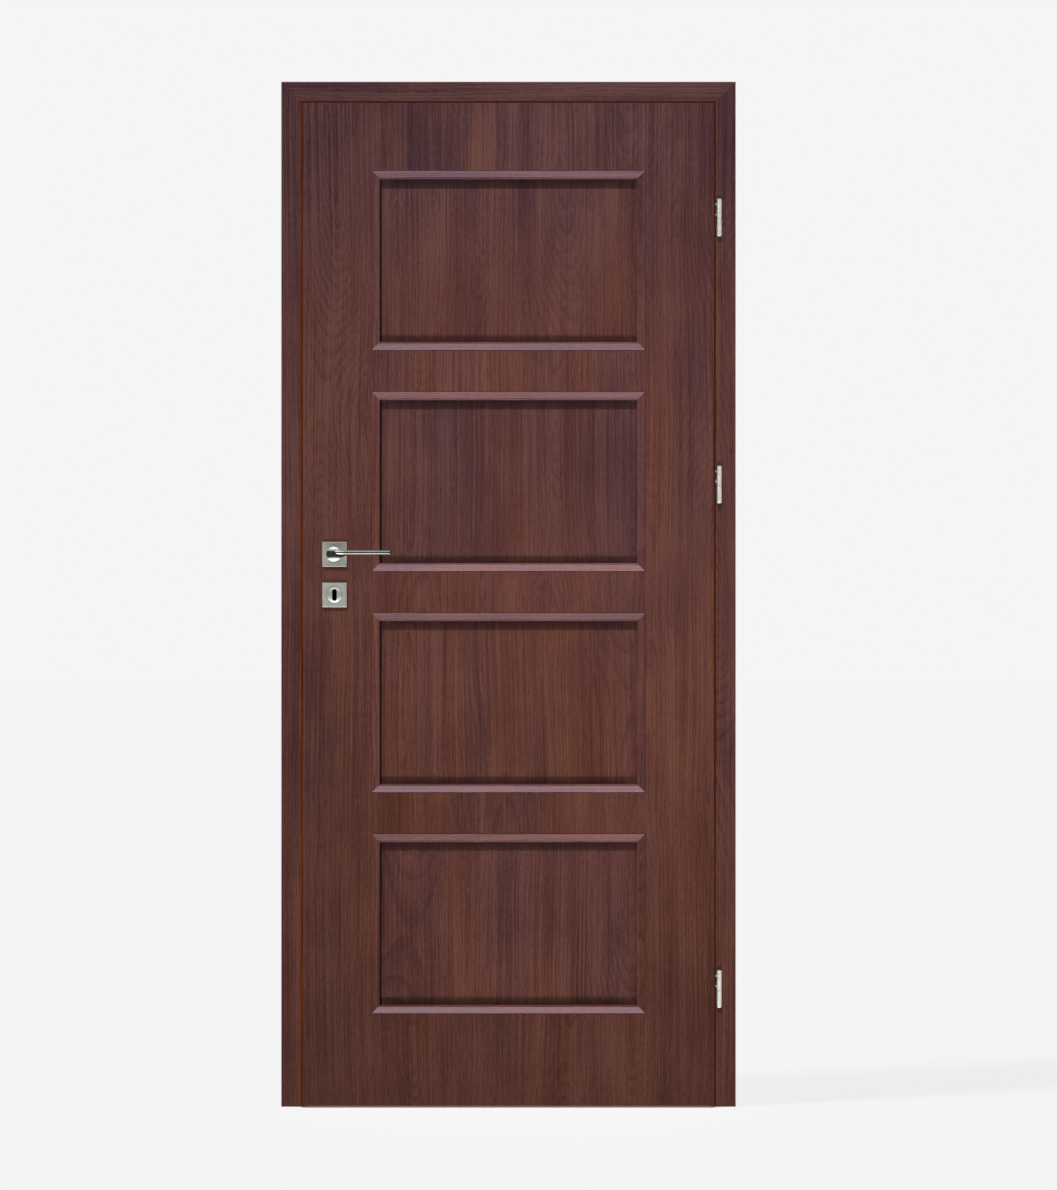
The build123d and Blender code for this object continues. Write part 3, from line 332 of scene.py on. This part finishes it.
def beech_finish(name):
    material, tree, shader = new_finish(name)
    _, x, y, z = places(tree)
    across = calc(tree, "ADD", x, y)
    fibre = noise(tree, stretched(tree, across, z, BEECH_WIDE, BEECH_LONG), 1.0, 4.0, 0.6)
    feed(tree, shader.inputs["Base Color"], ramp(tree, fibre, BEECH_TONES))
    shader.inputs["Roughness"].default_value = BEECH_ROUGH
    raise_grain(tree, shader, fibre, *BEECH_RELIEF)
    return material


dress(beech_finish("dowel_beech"), "corner_dowels")


# Frame seal: three lengths of extruded dark brown rubber, mitred at the corners.
# Each has a stem pushed into the groove of the stop and a soft bulb in front.
RUBBER_TONES = [(0.3, tone(34, 22, 18)), (0.75, tone(52, 36, 30))]
RUBBER_CLOUDS, RUBBER_SPECKS = 60.0, 2600.0
RUBBER_ROUGH, RUBBER_SPECK_ROUGH = 0.5, 0.25
RUBBER_RELIEF = (0.3, 0.0002)


def rubber_finish(name):
    material, tree, shader = new_finish(name)
    place = places(tree)[0]
    cloud = noise(tree, place, RUBBER_CLOUDS, 3.0, 0.6)
    speck = noise(tree, place, RUBBER_SPECKS, 2.0, 0.6)
    feed(tree, shader.inputs["Base Color"], ramp(tree, cloud, RUBBER_TONES))
    rough = calc(tree, "MULTIPLY_ADD", speck, RUBBER_SPECK_ROUGH, RUBBER_ROUGH)
    feed(tree, shader.inputs["Roughness"], rough)
    raise_grain(tree, shader, speck, *RUBBER_RELIEF)
    return material


dress(rubber_finish("seal_rubber"), "frame_seals")


# Strike plate: nickel-plated steel with a window for the latch and one for the
# deadbolt, let in flush with the rebate and held by two countersunk screws.
METAL_LINES, METAL_CLOUDS = 1800.0, 70.0
METAL_DULL = 0.86
CLOUD_ROUGH = 0.6
METAL_RELIEF = 0.35
HOLLOW_RAYS = 6
EVEN = (1.0, 1.0, 1.0)
BRUSHED_UPRIGHT = (1.0, 1.0, 0.03)


def openness(tree, reach):
    """How much open air a surface sees within this reach."""
    made = add(tree, "ShaderNodeAmbientOcclusion", {"Distance": reach}, samples=HOLLOW_RAYS)
    return made.outputs["AO"]


def metal_finish(
    name, colour, roughness, grain=EVEN, uneven=0.12, depth=0.00004, shade_reach=0.0, painted_dark=None
):
    """Plated metal, cloudy and finely lined, with painted shade in hollows and a painted darker
    part wherever the given rule gives less than one.
    """
    material, tree, shader = new_finish(name)
    place, x, _, _ = places(tree)
    pulled = add(tree, "ShaderNodeMapping", {"Vector": place, "Scale": grain}).outputs[0]
    line = noise(tree, pulled, METAL_LINES, 3.0, 0.6)
    cloud = noise(tree, place, METAL_CLOUDS, 3.0, 0.55)
    dull = tuple(part * METAL_DULL for part in colour[:3]) + (1.0,)
    shade = ramp(tree, cloud, [(0.3, dull), (0.7, colour)])
    if shade_reach:
        shade = mix(tree, 1.0, shade, openness(tree, shade_reach), "MULTIPLY")
    if painted_dark:
        shade = mix(tree, 1.0, shade, painted_dark(tree, x), "MULTIPLY")
    feed(tree, shader.inputs["Base Color"], shade)
    shader.inputs["Metallic"].default_value = 1.0
    rough = calc(tree, "MULTIPLY_ADD", line, uneven, roughness - uneven / 2)
    rough = calc(tree, "MULTIPLY_ADD", cloud, uneven * CLOUD_ROUGH, rough)
    feed(tree, shader.inputs["Roughness"], rough)
    raise_grain(tree, shader, line, METAL_RELIEF, depth)
    return material


plate_steel = metal_finish("plate_steel", tone(205, 204, 198), 0.34, BRUSHED_UPRIGHT)
screw_steel = metal_finish("screw_steel", tone(196, 196, 192), 0.3)
dress(plate_steel, "strike_plate")
dress(screw_steel, "strike_screws")


# Frame halves of the hinges: turned steel knuckles in satin nickel, each with a
# fixed pin and two threaded studs screwed into the front of the jamb.
TURNED = (0.15, 0.15, 1.0)
HINGE_PLACES = ("top", "middle", "bottom")
hinge_nickel = metal_finish("hinge_nickel", tone(224, 222, 216), 0.55, TURNED)
dress(hinge_nickel, *(f"hinge_frame_{place}" for place in HINGE_PLACES))
dress(screw_steel, "hinge_frame_studs", "hinge_pins")


# Leaf core: two stiles and five rails of board between the face sheets. The foil is
# wrapped around the long edges, and the bottom edge is sawn and bare.
STILES = ("stile_lock", "stile_hinge")
RAILS = ("rail_top", "rail_1", "rail_2", "rail_3", "rail_bottom")
dress(foil_finish("stile_foil", "upright", offset=4.0, bare_ends=True), *STILES)
dress(foil_finish("rail_foil", "level", offset=6.0, bare_ends=True), *RAILS)


# Face sheets: one thin hardboard sheet on each side of the core, cut out for the
# panels and covered with wood-grain foil whose grain runs upright all over. A dark
# line, a glue joint with painted shade in it, shows where each moulding's edge lies.
MOULDING_COUNT = 4
MOULDING_LOW = 0.191
MOULDING_TALL = 0.362
MOULDING_PITCH = 0.4465
MOULDING_HALF = 0.276
JOINT_WIDTH = 0.0011
JOINT_SHADE_TONE = tone(58, 33, 29)
SKINS = ("skin_front", "skin_back")


def moulding_joint_shade(tree, colour, x, z):
    """Paint a narrow dark line just outside the mouldings: a glue joint and painted shade under
    their edges.
    """
    start = MOULDING_LOW - JOINT_WIDTH
    half = MOULDING_TALL / 2 + JOINT_WIDTH
    step = calc(tree, "MODULO", calc(tree, "SUBTRACT", z, start), MOULDING_PITCH)
    up = calc(tree, "ABSOLUTE", calc(tree, "SUBTRACT", step, half))
    up = calc(tree, "SUBTRACT", up, half)
    side = calc(tree, "SUBTRACT", calc(tree, "ABSOLUTE", x), MOULDING_HALF + JOINT_WIDTH)
    inside = calc(tree, "LESS_THAN", calc(tree, "MAXIMUM", up, side), 0.0)
    below = calc(tree, "LESS_THAN", z, start + MOULDING_COUNT * MOULDING_PITCH)
    return mix(tree, calc(tree, "MULTIPLY", inside, below), colour, JOINT_SHADE_TONE)


face_foil = foil_finish("face_foil", "upright", offset=53.0, warmth=0.4, touch_up=moulding_joint_shade)
dress(face_foil, *SKINS)


# Panels: four flat foil-covered boards set back in the middle of the leaf, held
# between the front and the back mouldings. Painted shade darkens their edges and corners.
CORNER_REACH = 0.022
CORNER_POWER = 1.35
CORNER_SIDES = (0.225, 0.245, 1.0, 0.4)


def painted_corner_shade(tree, colour, x, z):
    # Painted shade near the mouldings, weaker towards the sides of the panel.
    corner_shade = calc(tree, "POWER", openness(tree, CORNER_REACH), CORNER_POWER)
    depth = rescale(tree, calc(tree, "ABSOLUTE", x), *CORNER_SIDES)
    return mix(tree, depth, colour, corner_shade, "MULTIPLY")


# Each foil: offset of the print, fall of the painted light, warmth, and the panels it covers.
PANEL_FOILS = {
    "warm_panel_foil": (72.0, (0.88, 0.66), 0.44, ("panel_1", "panel_3")),
    "cool_panel_foil": (85.0, (0.85, 0.64), 0.2, ("panel_2", "panel_4")),
}
for name, (offset, fall, warmth, panels) in PANEL_FOILS.items():
    dress(foil_finish(name, "upright", offset, fall, warmth, touch_up=painted_corner_shade), *panels)


# Mouldings: mitred strips glued round each opening on both faces. They lap the face
# sheet with a thin edge, rise to a crest and drop straight to the panel.
MITRE_SLACK = 0.0005


def level_strip(tree, x, z):
    """One where a strip of the mitred frame lies level, zero where it stands."""
    start = calc(tree, "SUBTRACT", z, MOULDING_LOW - MITRE_SLACK)
    step = calc(tree, "MODULO", start, MOULDING_PITCH)
    rest = calc(tree, "SUBTRACT", MOULDING_TALL + 2 * MITRE_SLACK, step)
    from_side = calc(tree, "SUBTRACT", MOULDING_HALF, calc(tree, "ABSOLUTE", x))
    return calc(tree, "LESS_THAN", calc(tree, "MINIMUM", step, rest), from_side)


moulding_foil = foil_finish("moulding_foil", level_strip, offset=17.0, fall=(1.09, 0.555))
for number in range(1, MOULDING_COUNT + 1):
    dress(moulding_foil, f"moulding_front_{number}", f"moulding_back_{number}")


# Lippings: three warm brown strips with a rounded front arris, glued to the lock,
# hinge and top edges of the rebated lip and mitred at the top. The top and hinge
# strips are painted darker, painted shade as if these edges lay in shadow.
LIPPING_TONES = [(0.3, tone(56, 15, 0)), (0.55, tone(82, 32, 3)), (0.8, tone(102, 45, 8))]
LIPPING_WIDE, LIPPING_LONG = 420.0, 5.0
LIPPING_ROUGH, STREAK_ROUGH = 0.6, 0.15
LIPPING_GLOSS = 0.1
LIPPING_RELIEF = (0.2, 0.0002)
LIPPING_SHADE = tone(26, 9, 5)
TOP_SHADE, TOP_FROM = 0.68, 2.0305
HINGE_SHADE, HINGE_FROM = 0.45, 0.4


def lipping_finish(name):
    material, tree, shader = new_finish(name)
    _, x, y, z = places(tree)
    over_top = calc(tree, "GREATER_THAN", z, TOP_FROM)
    length = mix(tree, over_top, z, x)
    across = calc(tree, "ADD", y, mix(tree, over_top, x, z))
    streak = noise(tree, stretched(tree, across, length, LIPPING_WIDE, LIPPING_LONG), 1.0, 4.0, 0.6)
    # Painted shade on the hinge and top strips.
    at_hinge = calc(tree, "MULTIPLY", calc(tree, "GREATER_THAN", x, HINGE_FROM), HINGE_SHADE)
    shaded = calc(tree, "MAXIMUM", at_hinge, calc(tree, "MULTIPLY", over_top, TOP_SHADE))
    colour = mix(tree, shaded, ramp(tree, streak, LIPPING_TONES), LIPPING_SHADE)
    feed(tree, shader.inputs["Base Color"], colour)
    rough = calc(tree, "MULTIPLY_ADD", streak, STREAK_ROUGH, LIPPING_ROUGH)
    feed(tree, shader.inputs["Roughness"], rough)
    shader.inputs["Specular IOR Level"].default_value = LIPPING_GLOSS
    raise_grain(tree, shader, streak, *LIPPING_RELIEF)
    return material


dress(lipping_finish("lipping_brown"), "lippings")


# Leaf halves of the hinges: longer knuckles that turn on the pins in black plastic
# bushes. Two studs on each go sideways through the lipping into the stile.
PLASTIC_BLACK = tone(22, 22, 23)
PLASTIC_SPECKS = 1500.0
SPECK_LIGHT = 1.7
PLASTIC_ROUGH, SPECK_ROUGH = 0.4, 0.2


def plastic_finish(name, colour):
    material, tree, shader = new_finish(name)
    speck = noise(tree, places(tree)[0], PLASTIC_SPECKS, 3.0, 0.6)
    light = tuple(min(1.0, part * SPECK_LIGHT) for part in colour[:3]) + (1.0,)
    feed(tree, shader.inputs["Base Color"], ramp(tree, speck, [(0.3, colour), (0.8, light)]))
    rough = calc(tree, "MULTIPLY_ADD", speck, SPECK_ROUGH, PLASTIC_ROUGH)
    feed(tree, shader.inputs["Roughness"], rough)
    return material


black_plastic = plastic_finish("black_plastic", PLASTIC_BLACK)
dress(hinge_nickel, *(f"hinge_leaf_{place}" for place in HINGE_PLACES))
dress(screw_steel, "hinge_leaf_studs")
dress(black_plastic, "hinge_bushes")


# Mortice lock: a zinc-plated sheet steel case and cover let into the lock stile, with
# the follower, the latch spring and the bolts inside.
zinc_sheet = metal_finish("zinc_sheet", tone(178, 182, 184), 0.42)
plain_steel = metal_finish("plain_steel", tone(150, 150, 150), 0.4)
dress(zinc_sheet, "lock_case", "lock_cover")
dress(screw_steel, "latch_spring")
dress(plain_steel, "follower", "spindle")


# Lock levers: three thin blackened steel plates that pivot on a stump inside the case
# and stand behind the keyhole, each a little lower than the one in front of it.
LOCK_LEVERS = ((0.0072, 1.0492), (0.0108, 1.0487), (0.0144, 1.0482))
black_steel = metal_finish("black_steel", tone(34, 34, 36), 0.55)


def lever_plate(name, front, top):
    left, right, low, thick, bevel = -0.3735, -0.3265, 1.0035, 0.0014, 0.005
    outline = [
        (left + bevel, low), (right - bevel, low), (right, low + bevel), (right, top - bevel),
        (right - bevel, top), (left + bevel, top), (left, top - bevel), (left, low + bevel),
    ]
    count = len(outline)
    points = [(x, y, z) for y in (front, front + thick) for x, z in outline]
    walls = [(i, (i + 1) % count, (i + 1) % count + count, i + count) for i in range(count)]
    faces = [tuple(range(count))[::-1], tuple(range(count, 2 * count))]
    mesh = bpy.data.meshes.new(name)
    mesh.from_pydata(points, [], faces + [wall[::-1] for wall in walls])
    mesh.update()
    plate = bpy.data.objects.new(name, mesh)
    bpy.context.scene.collection.objects.link(plate)
    mesh.materials.append(black_steel)
    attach(plate, "leaf")


for number, (front, top) in enumerate(LOCK_LEVERS, 1):
    lever_plate(f"lock_lever_{number}", front, top)


# Faceplate and bolts: a nickel-plated plate with round ends let into the edge of the
# leaf, two countersunk screws, the bevelled latch and the square deadbolt.
dress(plate_steel, "lock_faceplate", "latch_bolt", "deadbolt")
dress(screw_steel, "faceplate_screws")


# Roses: square pressed covers in satin nickel for the lever and the key, snapped over
# black bases that two bolts draw together through the leaf.
ROSE_TONE = tone(174, 173, 166)
# Painted shade darkens the roses in their hollows, under the lever's head and round the boss.
rose_nickel = metal_finish("rose_nickel", ROSE_TONE, 0.52, uneven=0.16, shade_reach=0.05)
dress(rose_nickel, "rose_front", "rose_back", "key_rose_front", "key_rose_back")
dress(black_plastic, "rose_bases")
dress(screw_steel, "rose_bolts")


# Key bosses: domed discs of satin nickel pressed into the key roses, each cut
# through by the upright keyhole.
boss_nickel = metal_finish("boss_nickel", tone(222, 222, 215), 0.36, uneven=0.1, depth=0.00002)
dress(boss_nickel, "key_boss_front", "key_boss_back")


# Levers: two cast levers in polished nickel on one square spindle, each held by a
# grub screw under its neck. The round head is bright, and the arm is painted darker
# from its start on, a painted dark reflection. They throw no shadow on the leaf.
LEVERS = ("lever_front", "lever_back")
LEVER_TONE = tone(180, 180, 174)
ARM_START, ARM_DARK, ARM_SHARE = -0.342, -0.328, 0.42


# Paints the arm darker from its start, a painted dark reflection.
def painted_dark_arm(tree, x):
    return rescale(tree, x, ARM_START, ARM_DARK, 1.0, ARM_SHARE)


lever_nickel = metal_finish(
    "lever_nickel", LEVER_TONE, 0.12, uneven=0.06, depth=0.00001, painted_dark=painted_dark_arm
)
dress(lever_nickel, *LEVERS)
for name in LEVERS:
    nodes[name].visible_shadow = False
dress(screw_steel, "grub_screws")


# Studio: a pale floor and surround, a key light from above and a low light from below
# on the left, two lights from behind, a side light for the floor's shadow alone, and a
# camera far in front.
PALE = 0.913
FLOOR_GLOW = 0.835
FLOOR_SHADOW = 0.06
FLOOR_MATT = 0.52
FLOOR_HALF = 40.0
FOOT_REACH = 0.03
FOOT_RANGE = (0.2, 0.42)


def grey(level):
    return (level, level, level, 1.0)


def pale_floor():
    near, far = -FLOOR_HALF, FLOOR_HALF
    corners = [(near, near, 0.0), (far, near, 0.0), (far, far, 0.0), (near, far, 0.0)]
    mesh = bpy.data.meshes.new("studio_floor")
    mesh.from_pydata(corners, [], [(0, 1, 2, 3)])
    floor = bpy.data.objects.new("studio_floor", mesh)
    bpy.context.scene.collection.objects.link(floor)
    material, tree, _ = new_finish("pale_floor")
    # Painted contact shadow: the floor's glow fades to dark where the door's foot closes over it.
    lit = rescale(tree, openness(tree, FOOT_REACH), *FOOT_RANGE, FLOOR_SHADOW, FLOOR_GLOW)
    glow = add(tree, "ShaderNodeEmission", {"Strength": lit})
    matt = add(tree, "ShaderNodeBsdfDiffuse", {"Color": grey(FLOOR_MATT)})
    both = add(tree, "ShaderNodeAddShader", {0: glow.outputs[0], 1: matt.outputs[0]})
    feed(tree, tree.nodes["Material Output"].inputs["Surface"], both.outputs[0])
    mesh.materials.append(material)
    floor.visible_shadow = False
    floor.visible_glossy = False
    floor.visible_diffuse = False
    return floor


ROOM_DIM = 0.06
UPPER_SHEET = (0.3, 0.6, ROOM_DIM, 2.3)
LOWER_SHEET = (-0.3, -0.6, ROOM_DIM, 4.2)
FRONT_HALF = (-0.35, 0.1, 1.0, 0.0)
FAINT = 0.02


def pale_surround():
    """A pale surround, with a dim room behind the camera and bright sheets above and below it."""
    world = bpy.data.worlds.new("studio")
    bpy.context.scene.world = world
    world.use_nodes = True
    tree = world.node_tree
    path = add(tree, "ShaderNodeLightPath").outputs
    way = add(tree, "ShaderNodeTexCoord").outputs["Generated"]
    _, y, z = add(tree, "ShaderNodeSeparateXYZ", {0: way}).outputs
    upper = rescale(tree, z, *UPPER_SHEET)
    lower = rescale(tree, z, *LOWER_SHEET)
    sheets = calc(tree, "MAXIMUM", upper, lower)
    shine = mix(tree, rescale(tree, y, *FRONT_HALF), grey(PALE), sheets)
    level = mix(tree, path["Is Glossy Ray"], grey(FAINT), shine)
    seen = calc(tree, "MAXIMUM", path["Is Camera Ray"], path["Is Transmission Ray"])
    level = mix(tree, seen, level, grey(PALE))
    back = tree.nodes["Background"]
    feed(tree, back.inputs["Color"], level)
    back.inputs["Strength"].default_value = 1.0


def sun(name, azimuth, height, strength, spread, colour):
    lamp = bpy.data.lights.new(name, "SUN")
    lamp.energy = strength
    lamp.angle = math.radians(spread)
    lamp.color = colour
    light = bpy.data.objects.new(name, lamp)
    light.rotation_euler = (math.radians(90 - height), 0.0, math.radians(azimuth))
    light.visible_glossy = False
    bpy.context.scene.collection.objects.link(light)
    return light


def share_floor(light, floor, state):
    """Keep one light off the floor, or let it fall on nothing else."""
    shared = bpy.data.collections.new(light.name + "_floor")
    shared.objects.link(floor)
    light.light_linking.receiver_collection = shared
    shared.collection_objects[0].light_linking.link_state = state


def spare_lap(light):
    """Let the boards of the leaf throw no shadow of this light on the frame."""
    boards = bpy.data.collections.new(light.name + "_boards")
    light.light_linking.blocker_collection = boards
    for name in (*SKINS, "lippings", *STILES, *RAILS):
        boards.objects.link(nodes[name])
    for link in boards.collection_objects:
        link.light_linking.link_state = "EXCLUDE"


# Each light: azimuth, height, strength, spread, colour, and how it takes the floor.
WHITE = (1.0, 1.0, 1.0)
FRONT_LIGHTS = {
    "key_light": (-11, 42, 2.51, 4.0, (1.0, 0.99, 0.98), "EXCLUDE"),
    "low_light": (-8, -36, 1.65, 4.0, (1.0, 0.98, 0.96), "EXCLUDE"),
}
OTHER_LIGHTS = {
    "rear_light": (200, 35, 2.4, 20.0, WHITE, "EXCLUDE"),
    "rear_low_light": (165, -30, 1.2, 20.0, WHITE, "EXCLUDE"),
    "side_light": (-67, 38, 0.56, 10.0, WHITE, "INCLUDE"),
}
floor = pale_floor()
pale_surround()
for name, (*aim, on_floor) in {**FRONT_LIGHTS, **OTHER_LIGHTS}.items():
    light = sun(name, *aim)
    share_floor(light, floor, on_floor)
    if name in FRONT_LIGHTS:
        spare_lap(light)

VIEW_ACROSS = 0.0405
VIEW_HEIGHT = 1.0358
VIEW_LENS = 120.0
VIEW_FIELD = 2.4088
VIEW_SENSOR = 36.0
VIEW_DEPTH = 200.0

lens = bpy.data.cameras.new("camera")
lens.lens = VIEW_LENS
lens.sensor_width = VIEW_SENSOR
lens.clip_end = VIEW_DEPTH
camera = bpy.data.objects.new("camera", lens)
camera.location = (VIEW_ACROSS, -VIEW_FIELD * VIEW_LENS / VIEW_SENSOR, VIEW_HEIGHT)
camera.rotation_euler = (math.radians(90), 0.0, 0.0)
bpy.context.scene.collection.objects.link(camera)
bpy.context.scene.camera = camera
bpy.context.scene.view_settings.view_transform = "Standard"
